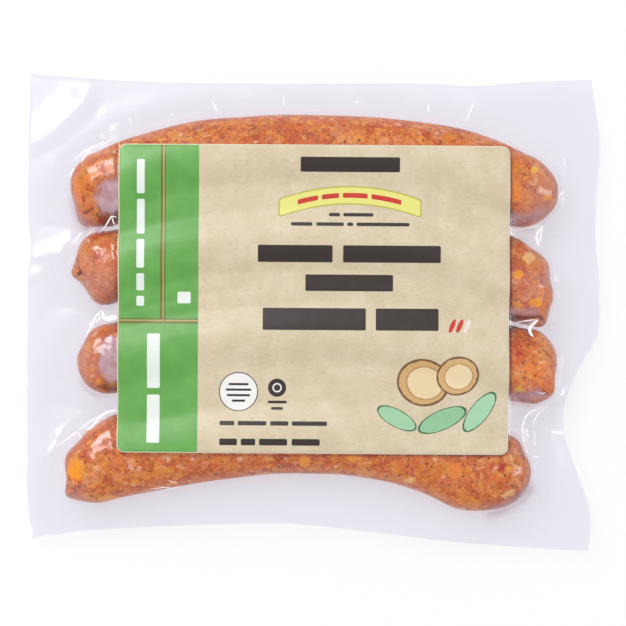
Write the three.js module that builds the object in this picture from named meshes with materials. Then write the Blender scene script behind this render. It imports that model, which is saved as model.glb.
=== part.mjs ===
// A vacuum-sealed pack of four smoked sausages: clear film drawn tight over and under them, a flat
// welded border all round, and a large paper label across the top. It lies on its back, label up.
// Millimetres, +Z up. X runs along the sausages and Y across them, from the lowest to the topmost
// as the label is read. The origin is the middle of the pack's outline, on the surface it lies on.
import * as THREE from "three";
import { mergeVertices } from "three/addons/utils/BufferGeometryUtils.js";

// Heights, measured from the surface that the pack lies on
const SEAM_HEIGHT = 12.8; // the plane in which the upper and lower films meet
const SAUSAGE_RISE = 14; // a sausage's crest above the seam
const SAUSAGE_DROP = 13.6; // its belly below the seam, before its weight flattens it on the table
const BORDER_THICKNESS = 0.6; // two films welded together
const LOWEST_BORDER = 1.2; // no part of the loose border droops lower than this

// Each sausage: half its width, and points [x, y] on its middle line from its left tip to its
// right tip. They arch upwards in the middle, as sausages twisted off one casing do.
const SAUSAGES = [
  {
    half: 14.8,
    line: [[-90.9, -57], [-76, -54.6], [-38, -47], [-5, -43.6], [21, -45.8], [43, -52], [64, -57.4], [80.4, -57.8]],
  },
  {
    half: 13.9,
    line: [[-87.6, -18.8], [-72, -16.3], [-38, -10.6], [-1, -7.8], [32, -9.7], [57, -15.3], [75, -20.6], [89, -24.6]],
  },
  {
    half: 14,
    line: [[-88.4, 19.2], [-74, 17], [-42, 23.6], [-1, 26.5], [32, 24.3], [57, 17.6], [74, 11.3], [88.9, 4.4]],
  },
  {
    half: 14.6,
    line: [[-89, 40.8], [-75, 46.2], [-60, 52], [-38, 57.2], [4, 58.9], [43, 55.7], [61, 50.9], [75, 44.8], [89.2, 40.8]],
  },
];
const FULLNESS = 2.25; // 2 is an elliptical section; a little more is plumper
// Hollows in the upper side of two of the left ends: [x, y, radius, depth]
const HOLLOWS = [[-77.5, 41.5, 5.5, 3], [-74.5, -18.5, 5.5, 2.4]];

// The outline of the border. The lower and upper edges are points [x, y], the left and right
// edges points [y, x]. The right edge is drawn in where the border curls down beside the label.
const LOWER_EDGE = [[-105, -83], [-80, -79.8], [-45, -77.9], [-10, -77.4], [20, -80.4], [55, -84.4], [101, -87.4]];
const UPPER_EDGE = [[-105, 87.4], [-70, 84.9], [-40, 83.9], [35, 83.9], [58, 82.8], [78, 84.2], [105, 85.2]];
const LEFT_EDGE = [[-83, -103.4], [-74, -104.9], [-48, -104.9], [8, -104.6], [24, -103.4], [38, -104.6], [87.4, -103.8]];
const RIGHT_EDGE = [
  [-87.4, 100.9], [-74, 101.7], [-60, 97.2], [-46, 92.4], [-36, 91.6], [-24, 95.6],
  [-9, 104.2], [8, 105.2], [22, 103.9], [40, 103.9], [60, 105.3], [85.2, 102],
];
const BORDER_DROOP = 2.6; // how far the border's free edge sags below the seam
const BORDER_WAVE = 1.7; // the rise and fall of its waves
const CURL = { x: 96, y: -36, across: 17, drop: 7 }; // the curl in the right border
// Stiff creases that run out across the border from between the sausages: ends, rise and width
const CREASES = [
  { from: [-79, -33], to: [-106, -54], rise: 2.6, width: 3.6 },
  { from: [-84, 25], to: [-106, 19], rise: 1.8, width: 4 },
  { from: [87, -32], to: [77, -43.5], rise: 2.2, width: 2.6 },
];

// The label: a sheet across the four crests that dips a little between them
const LABEL_WIDTH = 142;
const LABEL_DEPTH = 112;
const LABEL_CENTRE = [0, 4.8];
const LABEL_TURN = THREE.MathUtils.degToRad(-0.4);
const LABEL_CORNER = 2.8; // the radius of its corners
const LABEL_THICKNESS = 0.3;
const LABEL_GAP = 0.5; // between the label's underside and the film
const BRIDGE_RISE = 12; // how high above the seam the label holds the film between the crests
const BRIDGE_BLEND = 4; // how softly the film leaves a crest for the bridge
const TENT_REACH = 9; // the film falls from the label's edge to the seam over this distance

// How finely each stretch is divided
const BORDER_STEPS = 4;
const SAUSAGE_STEPS = 10;
const GAP_STEPS = 2;
const END_STEPS = 5;
const BODY_STEPS = 15;
const LABEL_STEPS = [16, 38];
const SPINE_STEPS = 300;

const MEAT = new THREE.Color(0xc9743f);
const FILM = new THREE.Color(0xe9e9f4);
const PAPER = new THREE.Color(0xdccdab);

const vector = (x, y) => new THREE.Vector2(x, y);
const fade = (t) => THREE.MathUtils.smoothstep(t, 0, 1);
const bell = (distance) => Math.exp(-distance * distance);

// A smooth function through points [position, value], steady beyond the first and the last
const through = (points) => {
  const curve = new THREE.CubicInterpolant(points.map((p) => p[0]), points.map((p) => p[1]), 1);
  return (position) => curve.evaluate(position)[0];
};
const lowerEdge = through(LOWER_EDGE);
const upperEdge = through(UPPER_EDGE);
const leftEdge = through(LEFT_EDGE);
const rightEdge = through(RIGHT_EDGE);

// Each sausage's middle line as a curve, the share of it that a rounded end takes up, and close
// points along it to measure from
const sausages = SAUSAGES.map(({ half, line }) => {
  const curve = new THREE.SplineCurve(line.map(([x, y]) => vector(x, y)));
  return { half, curve, endShare: half / curve.getLength(), spine: curve.getSpacedPoints(SPINE_STEPS) };
});

// How high a sausage's section stands, from 1 on its middle line to 0 at its side. out is the
// distance from the middle line as a share of half the width.
const roundness = (out) => (out < 1 ? Math.sqrt(1 - out ** FULLNESS) : 0);
const roundnessAt = (place) =>
  Math.max(...sausages.map(({ half, spine }) => roundness(Math.min(...spine.map((p) => p.distanceTo(place))) / half)));

const hollowDepth = (place) =>
  HOLLOWS.reduce((sum, [x, y, radius, depth]) => sum + depth * bell(place.distanceTo(vector(x, y)) / radius), 0);

const creaseRise = (place) =>
  CREASES.reduce((sum, { from, to, rise, width }) => {
    const line = new THREE.Line3(new THREE.Vector3(...from, 0), new THREE.Vector3(...to, 0));
    const spot = new THREE.Vector3(place.x, place.y, 0);
    const nearest = line.closestPointToPoint(spot, true, new THREE.Vector3());
    return sum + rise * bell(spot.distanceTo(nearest) / width);
  }, 0);

// The height of the welded seam. It is level beside the sausages, and waves and droops towards
// the border's free edge. looseness is 0 beside the sausages and 1 at the edge.
const seamAt = (place, looseness) => {
  const { x, y } = place;
  const wave = Math.sin(x / 21 + 0.8) * Math.cos(y / 27 - 0.4) + 0.5 * Math.sin((x + 2 * y) / 33);
  const curl = CURL.drop * bell((y - CURL.y) / CURL.across) * fade((x - CURL.x + 12) / 12);
  const loose = BORDER_WAVE * wave - BORDER_DROOP * looseness - curl;
  return Math.max(SEAM_HEIGHT + loose * looseness + creaseRise(place), LOWEST_BORDER);
};

// 1 under the label, falling to 0 where the film has come down from it
const labelHold = (place) => {
  const onLabel = place.clone().sub(vector(...LABEL_CENTRE)).rotateAround(vector(0, 0), -LABEL_TURN);
  const beyond = Math.hypot(
    Math.max(Math.abs(onLabel.x) - LABEL_WIDTH / 2, 0),
    Math.max(Math.abs(onLabel.y) - LABEL_DEPTH / 2, 0),
  );
  return 1 - fade(beyond / TENT_REACH);
};

// How far the upper film stands above the seam: over a sausage's section, or bridging a dip
const riseAt = (place, round, hold) => {
  const crest = (SAUSAGE_RISE - hollowDepth(place) * (1 - hold)) * round;
  const bridge = BRIDGE_RISE * hold;
  const closeness = Math.max(0, 1 - Math.abs(crest - bridge) / BRIDGE_BLEND);
  return Math.max(crest, bridge) + (closeness ** 2 * BRIDGE_BLEND * hold) / 4;
};

// Fractions that divide a stretch evenly, or closely near the sides of a round form
const even = (steps) => Array.from({ length: steps }, (_, k) => k / steps);
const bothSides = (steps) => even(steps).map((t) => (1 - Math.cos(Math.PI * t)) / 2);
const firstSide = (steps) => even(steps).map((t) => 1 - Math.cos((Math.PI / 2) * t));
const lastSide = (steps) => even(steps).map((t) => Math.sin((Math.PI / 2) * t));

// A row or column is numbered by stretch, and the fraction of it passed: 2.5 is halfway along the
// third stretch. Rows cross border, sausage, gap, sausage, gap, sausage, gap, sausage and border;
// columns cross border, round ends, bodies, round ends and border.
const numbered = (stretches) => [...stretches.flatMap((steps, n) => steps.map((t) => n + t)), stretches.length];
const border = even(BORDER_STEPS);
const sausageRows = sausages.flatMap((_, n) => (n ? [even(GAP_STEPS)] : []).concat([bothSides(SAUSAGE_STEPS)]));
const ROWS = numbered([border, ...sausageRows, border]);
const COLUMNS = numbered([border, firstSide(END_STEPS), even(BODY_STEPS), lastSide(END_STEPS), border]);
const LAST_ROW = ROWS.at(-1);
const LAST_COLUMN = COLUMNS.at(-1);

// A place on a sausage's plan, from its left tip at column 1 to its right tip at column 4. across
// runs from -1 to 1. Over an end, the square of cells between two columns becomes half a disc.
const onSausage = ({ half, curve, endShare }, column, across) => {
  const body = THREE.MathUtils.clamp(column - 2, 0, 1);
  const share = endShare + body * (1 - 2 * endShare);
  const centre = curve.getPointAt(share);
  const tangent = curve.getTangentAt(share);
  const sideways = vector(-tangent.y, tangent.x).multiplyScalar(half);
  const endwards = curve.getPoint(column < 2 ? 0 : 1).sub(centre);
  const along = Math.max(2 - column, column - 3, 0);
  const disc = [along * Math.sqrt(1 - across ** 2 / 2), across * Math.sqrt(1 - along ** 2 / 2)];
  const place = centre.addScaledVector(endwards, disc[0]).addScaledVector(sideways, disc[1]);
  return { place, out: Math.max(Math.abs(across), along) < 1 ? Math.hypot(...disc) : 1 };
};

// A side of a sausage: rows 1 and 2 are the two sides of the lowest, rows 3 and 4 of the next
const sideAt = (column, row) => onSausage(sausages[Math.floor((row - 1) / 2)], column, row % 2 === 1 ? -1 : 1).place;

// The plan between the sausages' tips: where column and row cross, and how far out on a sausage
const innerPlan = (column, row) => {
  const track = Math.min(Math.floor(row), LAST_ROW - 1);
  const passed = row - track;
  if (track > 0 && track < LAST_ROW - 1 && track % 2 === 1) {
    return onSausage(sausages[(track - 1) / 2], column, 2 * passed - 1);
  }
  const near = sideAt(column, Math.max(track, 1));
  if (track === 0) return { place: vector(near.x, lowerEdge(near.x)).lerp(near, passed), out: 1 };
  const far = track === LAST_ROW - 1 ? vector(near.x, upperEdge(near.x)) : sideAt(column, track + 1);
  return { place: near.lerp(far, passed), out: 1 };
};

// The whole plan: beyond the sausages' tips the rows run straight on to the left or right edge
const planAt = (column, row) => {
  if (column >= 1 && column <= LAST_COLUMN - 1) return innerPlan(column, row);
  const left = column < 1;
  const inner = (atRow) => innerPlan(left ? 1 : LAST_COLUMN - 1, atRow).place;
  const edge = left ? leftEdge : rightEdge;
  const corners = (left ? LEFT_EDGE : RIGHT_EDGE).map((point) => point[0]);
  const start = inner(row);
  let edgeY = start.y;
  if (row < 1) edgeY = THREE.MathUtils.lerp(corners[0], inner(1).y, row);
  if (row > LAST_ROW - 1) edgeY = THREE.MathUtils.lerp(corners.at(-1), inner(LAST_ROW - 1).y, LAST_ROW - row);
  return { place: vector(edge(edgeY), edgeY).lerp(start, left ? column : LAST_COLUMN - column), out: 1 };
};

// How loose the border is at a crossing: 0 between and beside the sausages, 1 at the outline
const loosenessAt = (column, row) =>
  fade(Math.max(1 - column, column - LAST_COLUMN + 1, 1 - row, row - LAST_ROW + 1, 0));

// A closed sheet from a box of cells: shape gets a crossing and the side, and places its vertex
const closedSheet = (columns, rows, shape) => {
  const box = new THREE.BoxGeometry(1, 1, 1, columns.length - 1, rows.length - 1, 1);
  const places = box.getAttribute("position");
  const colours = new THREE.Float32BufferAttribute(places.count * 3, 3);
  for (let n = 0; n < places.count; n += 1) {
    const column = columns[Math.round((places.getX(n) + 0.5) * (columns.length - 1))];
    const row = rows[Math.round((places.getY(n) + 0.5) * (rows.length - 1))];
    const { point, colour } = shape(column, row, places.getZ(n) > 0);
    places.setXYZ(n, ...point);
    colours.setXYZ(n, ...colour.toArray());
  }
  box.deleteAttribute("normal");
  box.deleteAttribute("uv");
  box.setAttribute("color", colours);
  const merged = mergeVertices(box);
  merged.computeVertexNormals();
  return merged;
};

const packVertex = (column, row, upper) => {
  const { place, out } = planAt(column, row);
  const seam = seamAt(place, loosenessAt(column, row));
  const round = roundness(out);
  const z = upper
    ? seam + Math.max(riseAt(place, round, labelHold(place)), BORDER_THICKNESS / 2)
    : Math.max(seam - Math.max(SAUSAGE_DROP * round, BORDER_THICKNESS / 2), 0);
  return { point: [place.x, place.y, z], colour: round > 0 ? MEAT : FILM };
};

// The label's grid runs from -1 to 1 both ways. Its corner cells are drawn in to the corner's arc.
const labelGrid = (size, steps) => {
  const corner = (2 * LABEL_CORNER) / size;
  const straight = even(steps).map((t) => -1 + corner + t * (2 - 2 * corner));
  return [-1, -1 + corner / 2, ...straight, 1 - corner, 1 - corner / 2, 1];
};
const LABEL_COLUMNS = labelGrid(LABEL_WIDTH, LABEL_STEPS[0]);
const LABEL_ROWS = labelGrid(LABEL_DEPTH, LABEL_STEPS[1]);

// How far a point is into a corner cell, from 0 at the straight edge's end to 1 at the outline
const intoCorner = (distance, size) => Math.max(Math.abs(distance) - size / 2 + LABEL_CORNER, 0) / LABEL_CORNER;

const labelVertex = (column, row, upper) => {
  const place = vector((column * LABEL_WIDTH) / 2, (row * LABEL_DEPTH) / 2);
  const into = [intoCorner(place.x, LABEL_WIDTH), intoCorner(place.y, LABEL_DEPTH)];
  place.x -= Math.sign(place.x) * LABEL_CORNER * into[0] * (1 - Math.sqrt(1 - into[1] ** 2 / 2));
  place.y -= Math.sign(place.y) * LABEL_CORNER * into[1] * (1 - Math.sqrt(1 - into[0] ** 2 / 2));
  place.rotateAround(vector(0, 0), LABEL_TURN).add(vector(...LABEL_CENTRE));
  const underside = SEAM_HEIGHT + riseAt(place, roundnessAt(place), 1) + LABEL_GAP;
  return { point: [place.x, place.y, underside + (upper ? LABEL_THICKNESS : 0)], colour: PAPER };
};

const named = (name, geometry, roughness) => {
  const mesh = new THREE.Mesh(geometry, new THREE.MeshStandardMaterial({ vertexColors: true, roughness, metalness: 0 }));
  mesh.name = name;
  return mesh;
};

const sausagePack = new THREE.Group();
sausagePack.add(
  named("sealed_pack", closedSheet(COLUMNS, ROWS, packVertex), 0.25),
  named("label", closedSheet(LABEL_COLUMNS, LABEL_ROWS, labelVertex), 0.55),
);

export default sausagePack;
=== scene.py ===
"""A vacuum-sealed pack of four smoked sausages: a clear film skin drawn tight over arched sausages,
a flat welded border with creases, and a green and kraft paper label across the top. Seen from
straight above, as it lies on a pale table."""
import math

import bmesh
import bpy
import numpy as np
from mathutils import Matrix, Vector, noise


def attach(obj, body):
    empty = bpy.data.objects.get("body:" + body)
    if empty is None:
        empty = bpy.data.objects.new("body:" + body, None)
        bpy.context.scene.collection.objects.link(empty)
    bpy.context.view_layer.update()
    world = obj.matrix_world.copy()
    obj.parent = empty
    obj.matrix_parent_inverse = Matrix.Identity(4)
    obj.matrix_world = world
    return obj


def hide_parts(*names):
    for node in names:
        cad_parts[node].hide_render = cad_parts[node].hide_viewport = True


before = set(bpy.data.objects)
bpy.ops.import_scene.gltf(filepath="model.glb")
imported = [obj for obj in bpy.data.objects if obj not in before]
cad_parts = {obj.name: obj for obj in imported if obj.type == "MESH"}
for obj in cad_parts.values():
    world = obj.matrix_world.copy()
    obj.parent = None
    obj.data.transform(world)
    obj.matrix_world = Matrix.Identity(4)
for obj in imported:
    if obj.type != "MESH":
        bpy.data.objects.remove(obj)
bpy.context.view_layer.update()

MM = 0.001  # the lengths below are in millimetres, as the pack is measured

# Heights above the table
SEAM_HEIGHT = 12.8  # the plane in which the upper and lower films meet
SAUSAGE_RISE = 14.0  # the film's crest above the seam
SAUSAGE_DROP = 13.6  # its belly below the seam, before it flattens on the table
FILM_SKIN = 0.3  # the two welded films together
LOWEST_BORDER = 1.2

# Each sausage's half width, its middle line from tip to tip, how blunt its two ends are (2 is
# round, more is squarer, less is pointed), and where an end is pushed out of its plain shape:
# x, y, radius, and the shift in x and y
SAUSAGES = [
    {
        "name": "sausage_1",
        "half": 14.6,
        "line": [
            (-89, 40.8), (-75, 46.2), (-60, 52), (-38, 57.2),
            (4, 58.9), (43, 55.7), (61, 50.9), (75, 44.8), (89.2, 40.8),
        ],
        "blunt": (2.1, 2.4),
        "pushes": [
            (-84, 33, 5.5, -2.4, -2.8), (-73, 30, 5, 0, -1.2),
            (90, 40, 6, 1.2, -0.8), (86, 53, 6, -1.2, -0.8),
        ],
    },
    {
        "name": "sausage_2",
        "half": 14.0,
        "line": [
            (-88.4, 17.6), (-74, 17), (-42, 23.6), (-1, 26.5),
            (32, 24.3), (57, 17.6), (74, 11.3), (88.6, 3.6),
        ],
        "blunt": (2.0, 2.7),
        "pushes": [
            (-87, 15, 3.6, -2.2, -0.8), (-84, 20, 5, 0.9, 0), (-78, 4, 6, -1.4, -2.2),
            (73, 25, 7, 0.3, 2.2), (90, 13, 6, -3.0, -0.8), (84, -5, 5, 2.2, -3.2), (72, 0, 4, 0, -1.2),
        ],
    },
    {
        "name": "sausage_3",
        "half": 13.9,
        "line": [
            (-87.6, -19.2), (-72, -16.5), (-38, -10.6), (-1, -7.8),
            (32, -9.7), (57, -15.3), (75, -20.6), (89, -24.6),
        ],
        "blunt": (2.3, 3.0),
        "pushes": [
            (-86, -10, 5, 1.4, -1.0), (82, -8, 7, 0, 2.9), (72, -7, 4, 0, 1.4),
            (76, -34, 6, 0.4, 1.0), (87, -29, 4, 1.6, -0.6),
        ],
    },
    {
        "name": "sausage_4",
        "half": 15.2,
        "line": [
            (-91.5, -60), (-76, -54.8), (-38, -47.6), (-5, -44.8),
            (21, -46.6), (43, -52), (64, -57.6), (81, -58.6),
        ],
        "blunt": (2.6, 2.3),
        "pushes": [
            (-72, -40, 6, -0.5, 2.4), (-88, -46, 6, 1.8, -1.6), (-90, -67, 4, -3.4, -1.4),
            (-82, -72, 5, 0, 0.5), (54, -69, 10, -0.2, -2.4), (80, -50, 6, -1.8, -1.0),
        ],
    },
]
FULLNESS = 2.25  # 2 is an elliptical section; a little more is plumper
FLESH_INSET = 1.1  # the flesh's side stands this far inside the film's outline
SPINE_STEPS = 240
SWELL = 0.4  # how much a sausage's half width swells and shrinks along it
SWELL_PACE = 0.035  # how quickly, for each step of its middle line
# Hollows in the flesh, which the film spans: x, y, radius, depth, and the share of the depth that
# the film follows
HOLLOWS = [(-72.8, 42.2, 6.8, 4.6, 0.35), (-72.4, -13, 5.4, 3.6, 0.3), (-72.2, -20.6, 5.6, 3.6, 0.3)]
# Folds in the casing, pressed into the flesh and darkened with painted shade: points along each, half width,
# and how dark
SHADED_FOLDS = [
    ([(-83.3, 36), (-80.2, 37.7)], 0.4, 1.0),
    ([(-75, 30.5), (-71.4, 34.9)], 0.9, 0.9),
    ([(-75.6, 32.6), (-72, 36.4)], 1.7, 0.75),
    ([(-88.9, 40), (-88.1, 36.3), (-86.3, 33), (-83.4, 30.5)], 0.32, 0.6),
    ([(-86.4, 20.1), (-85.6, 17), (-84.1, 13.7)], 0.34, 0.7),
    ([(-88.9, 16.1), (-86.7, 12.8)], 0.34, 0.6),
    ([(-87.8, 17.7), (-85.2, 15.1)], 0.3, 0.6),
    ([(-79.8, 4.6), (-76, 3.3), (-71.5, 3.5)], 0.34, 0.5),
    ([(-77.2, -27), (-75, -27.6), (-71.5, -28.1)], 1.2, 0.8),
    ([(-90, -63.3), (-87.4, -64.4), (-83.4, -62.6)], 0.36, 0.45),
    ([(-90.3, -68.1), (-88.1, -65.9), (-85.2, -64.8)], 0.36, 0.5),
    ([(71.2, -1.3), (72.1, -3.5), (71.5, -6)], 1.5, 1.0),
    ([(71.5, -1.3), (76.6, -2), (81.9, -1.4), (83.3, -2.4)], 0.65, 1.0),
    ([(83.3, -2.4), (84.5, -4.2), (84.5, -6.4)], 0.36, 0.6),
    ([(71.5, -5.8), (74.6, -4.9), (78.3, -6.4), (78.7, -8.6)], 0.5, 0.9),
    ([(73.2, -8.9), (75.4, -8.6), (77.6, -9.7), (79.4, -10.4)], 0.28, 0.5),
    ([(83.3, -13.3), (86.1, -16.1), (88.1, -19.4)], 0.3, 0.6),
    ([(71, -30.5), (79, -29.7), (84.1, -29.6)], 0.36, 0.5),
    ([(75, -46.9), (77.2, -50.9), (79, -54.6), (79.9, -57.5), (79.6, -60.4)], 0.28, 0.7),
]
# The fan of folds at the left end of the top sausage, darkened with painted shade: where they meet, and
# where each runs out
FAN_ROOT = (-76, 30.2)
FAN_TIPS = [(-78.8, 36), (-77.9, 38.7), (-76.3, 39.8), (-74.1, 39.6), (-71.9, 38.1)]
SHADED_FOLDS += [([FAN_ROOT, tip], 0.42, 0.9) for tip in FAN_TIPS]
# The dents that the label's edges press into the meat, darkened as painted shadow under the label's edges
SHADED_FOLDS += [
    ([(-71.6, 59.3), (-71.6, 30.1)], 0.34, 0.45), ([(-71.6, 27.2), (-71.6, 2)], 0.34, 0.45),
    ([(71.7, 59.3), (71.7, 36.7)], 0.36, 0.5), ([(71.7, 36.7), (71.9, 30.5)], 0.9, 0.95),
    ([(71.6, 27.9), (71.6, -0.9)], 0.42, 0.75), ([(71.6, -6.4), (71.6, -31.9)], 0.42, 0.7),
    ([(-68.8, -52), (68.1, -52), (70.6, -49.8), (71.5, -44)], 0.36, 0.45),
]

# The border's outline, as in the frame: x to y for the lower and upper edges, y to x for the others
LOWER_EDGE = [(-105, -83), (-80, -79.8), (-45, -77.9), (-10, -77.4), (20, -80.4), (55, -84.4), (101, -87.4)]
UPPER_EDGE = [(-105, 87.4), (-70, 84.9), (-40, 83.9), (35, 83.9), (58, 82.8), (78, 84.2), (105, 85.2)]
LEFT_EDGE = [
    (-83, -103.4), (-74, -104.9), (-48, -104.9), (8, -104.6), (24, -103.4), (38, -104.6), (87.4, -103.8),
]
RIGHT_EDGE = [
    (-87.4, 100.9), (-74, 101.7), (-60, 97.2), (-46, 92.4), (-36, 91.6), (-24, 95.6),
    (-9, 104.2), (8, 105.2), (22, 103.9), (40, 103.9), (60, 105.3), (85.2, 102),
]
EDGE_REACH = 24.0  # the edges' unevenness fades out over this distance inwards
BORDER_DROOP = 1.6
BORDER_WAVE = 1.5
CURL = {"x": 96, "y": -36, "across": 17, "drop": 7}
# Ridges of the left border, steep towards the right and below: points along each, rise, half width
# of the gentle side, which lies to the left of the line's direction
RIDGES = [
    ([(-106, 60), (-97, 64), (-91, 69.5), (-84, 75.5), (-82, 81)], 1.8, 7.0),
    ([(-106, 11.5), (-98, 15.2), (-92.9, 18.4), (-87.5, 22.4), (-84.4, 27)], 1.5, 4.6),
    ([(-106, -65), (-97, -56.6), (-90, -49.6), (-83, -45)], 2.2, 6.0),
]
STEEP_SIDE = 0.35  # a ridge's steep side is this much narrower than its gentle one

# Stiff creases through the welded border: points along each, rise and half width
BORDER_CREASES = [
    ([(-84, -42), (-94, -49), (-106, -58)], 0.5, 1.2),
    ([(-84, 26), (-95, 22), (-106, 20)], 1.0, 2.6),
    ([(89, -30.5), (82, -33.8), (77.2, -38.5), (76.1, -43), (77, -48), (80, -53)], 2.0, 1.5),
]
# Lilac patches, where film with moisture under it covers the flesh's edge, and pale webs of strained film,
# partly painted reflection and, beside the top sausage's right end, a painted highlight: points along each,
# half width, and how strong
PATCHES = [
    ([(65, -73.6), (70, -71.6), (75, -68.4), (78.8, -64.6)], 2.4, 0.85),
    ([(71.4, 34), (77.2, 34.2), (83.4, 36.6)], 2.3, 0.75),
    ([(71.4, -31), (76.1, -31), (83.4, -29.4)], 2.1, 0.9),
    ([(-88, 41), (-86.8, 35.4), (-83.2, 31.4), (-78, 30.4)], 1.5, 0.75),
    ([(72.1, 0.4), (76.8, 0.2), (81.6, 0.4)], 1.3, 0.75),
    ([(-85.2, -25.7), (-83, -28.3), (-79.4, -30.5)], 0.9, 0.5),
]
WEBS_AND_SHEENS = [
    ([(-79.4, 59.5), (-76.5, 61)], 1.3, 0.6),
    ([(-89.4, 49.1), (-89.6, 44.7), (-89.4, 40), (-88.5, 36)], 0.8, 0.7),
    ([(-75.4, 0.5), (-71.4, -0.2)], 1.3, 0.6),
    ([(74.6, -3.8), (80.1, -3.8)], 1.0, 1.0),
    ([(84.9, -7.8), (87.4, -11.1), (89.2, -14.4)], 0.9, 0.5),
    ([(88, 53), (90, 48.5), (90.4, 43.5)], 0.9, 0.7),
]
LUMP_TONES = {
    "amber": (255, 162, 52), "orange": (250, 142, 54), "yellow": (255, 200, 62),
    "cream": (255, 194, 118), "red": (196, 58, 38), "dark": (128, 40, 22),
}
# Distinct lumps in the meat: middle x and y, half width and height, turn in degrees, and tone
CHUNKS = [
    (-86.3, -56.8, 3.6, 4.3, 10, "amber"), (-74.3, -68.1, 4.6, 1.3, -5, "amber"),
    (-86.3, 44.3, 1.7, 6.0, 8, "orange"), (-80.8, 49.8, 2.6, 1.8, 30, "orange"),
    (-87.4, 14.8, 1.7, 1.9, -45, "orange"), (-85.4, 14.2, 0.7, 0.8, 0, "dark"),
    (-77.9, -25.7, 1.0, 2.0, 25, "amber"), (80.1, 51.8, 1.4, 1.3, -40, "yellow"),
    (73.9, 44, 1.7, 3.8, 0, "orange"), (85.2, 41.8, 1.3, 1.1, 0, "amber"),
    (78.3, 19.9, 2.3, 2.1, 30, "cream"), (74.3, 13.7, 2.1, 1.5, 0, "amber"),
    (80.5, 3.5, 2.4, 2.0, 0, "amber"), (78.7, -20.4, 1.8, 2.2, 0, "orange"),
    (75, -28.1, 2.3, 1.0, -8, "yellow"), (74.3, -15.1, 1.1, 1.1, 0, "red"),
    (68.1, -56.2, 1.4, 1.6, 0, "red"), (71, -65.9, 2.6, 1.3, 20, "cream"),
    (35, -61.1, 1.9, 1.3, 20, "cream"), (-3.1, -54.2, 1.9, 2.4, 0, "amber"),
    (15.1, -52.9, 2.8, 1.2, 0, "amber"), (51.3, -57.5, 2.8, 3.0, 0, "orange"),
]
# Pleats where the upper film was pinched as it shrank, white as stretched film turns and glowing as painted
# highlights; the short ones stand for glints along the outlines and the border: points along each, and half
# width
PLEATS = [
    ([(-78.5, 28.8), (-76, 31.4), (-74, 34.2), (-73.3, 34.9), (-71.2, 34.5)], 0.34),
    ([(-73.3, 34.7), (-72.4, 31.6)], 0.24),
    ([(-82.9, 27.6), (-81.6, 29.2), (-80, 31)], 0.32),
    ([(-80, 30.8), (-80.3, 28.7)], 0.26),
    ([(-78.3, 0.5), (-80.2, -2.3), (-81.1, -5.2), (-82.7, -7.7), (-83.8, -9.1)], 0.44),
    ([(-78.5, 0.5), (-77.4, 0.4), (-76.5, -1.6), (-75.4, -2.6), (-73.5, -2.6), (-71.2, -2.1)], 0.7),
    ([(-76.2, -1.8), (-71.2, -1.5)], 0.7),
    ([(-78.2, 0), (-78.7, -3.5)], 0.16),
    ([(-77.6, -0.2), (-77.3, -3.1)], 0.14),
    ([(-71.1, -35.5), (-74.7, -36.3), (-77.9, -38.1), (-79.6, -40.3), (-81.4, -42.4), (-83.2, -42.9)], 0.62),
    ([(-94.4, -49.3), (-90.3, -46.5), (-86.5, -44), (-84.8, -46.2)], 0.24),
    ([(84.3, 32.1), (82.9, 30.5), (81.9, 28.8), (81.7, 27), (82.6, 23.9)], 0.5),
    ([(84.1, 31.6), (83.4, 28.7), (82.8, 25.2)], 0.26),
    ([(71.5, 29.6), (79, 31), (82.7, 31.9)], 0.14),
    ([(71.5, 29.2), (72.8, 27.9), (74.5, 27)], 0.2),
    ([(81.9, -2.7), (80, -4.3), (78.9, -6), (79, -7.6), (80, -8.9)], 0.72),
    ([(73.4, -3.8), (76.1, -5), (78.7, -6.1)], 0.18),
    ([(73.4, -3.8), (77.6, -3), (81.7, -2.6)], 0.2),
    ([(86.7, -32.7), (83.3, -34.7), (79.2, -36.5), (77.2, -39), (76.4, -41.6), (76.3, -45.1),
      (78.7, -52.4)], 0.28),
    ([(86, -34.1), (83, -36.5), (81.6, -38.1), (80.8, -40.3), (81.2, -42.2)], 0.22),
    ([(80.1, -43.3), (81.2, -45.1), (80.7, -46.9), (81.6, -49.1)], 0.16),
    ([(81.6, -29), (83, -29.5), (84.5, -28.7), (85, -27)], 0.14),
    ([(-80.8, 61.3), (-82.1, 58.9), (-83.6, 56.4), (-84.9, 54.4)], 0.36),
    ([(-87.3, 52.9), (-89, 49.5)], 0.4),
    ([(-71.7, 63.9), (-75, 62.4), (-78.3, 60.6)], 0.18),
    ([(91.6, 44.5), (89.4, 42.3)], 0.3),
    ([(87.7, 14.1), (90, 10.8)], 0.26),
    ([(-59.7, -64.1), (-57.5, -64.3), (-54.6, -63.7), (-51.6, -64.1), (-48.7, -63.5)], 0.14),
    ([(-53.1, -60.8), (-51.3, -61.7), (-49.1, -62)], 0.12),
    ([(-36.8, 77.0), (-35.4, 73.4)], 0.34),
    ([(-11.1, 79.0), (-10.8, 75.8)], 0.26),
    ([(-52.0, 73.3), (-51.6, 72.2)], 0.3),
    ([(-67.3, 71.6), (-67.0, 68.8)], 0.2),
    ([(-77.6, 65.9), (-77.2, 63.3)], 0.24),
    ([(15.9, 77.6), (16.0, 76.6)], 0.24),
    ([(41.8, 76.5), (42.4, 73.2)], 0.26),
    ([(58.9, 77.2), (57.2, 73.2), (55.8, 70.0)], 0.24),
    ([(91.8, 56.4), (92.2, 53.6)], 0.16),
]

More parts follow.
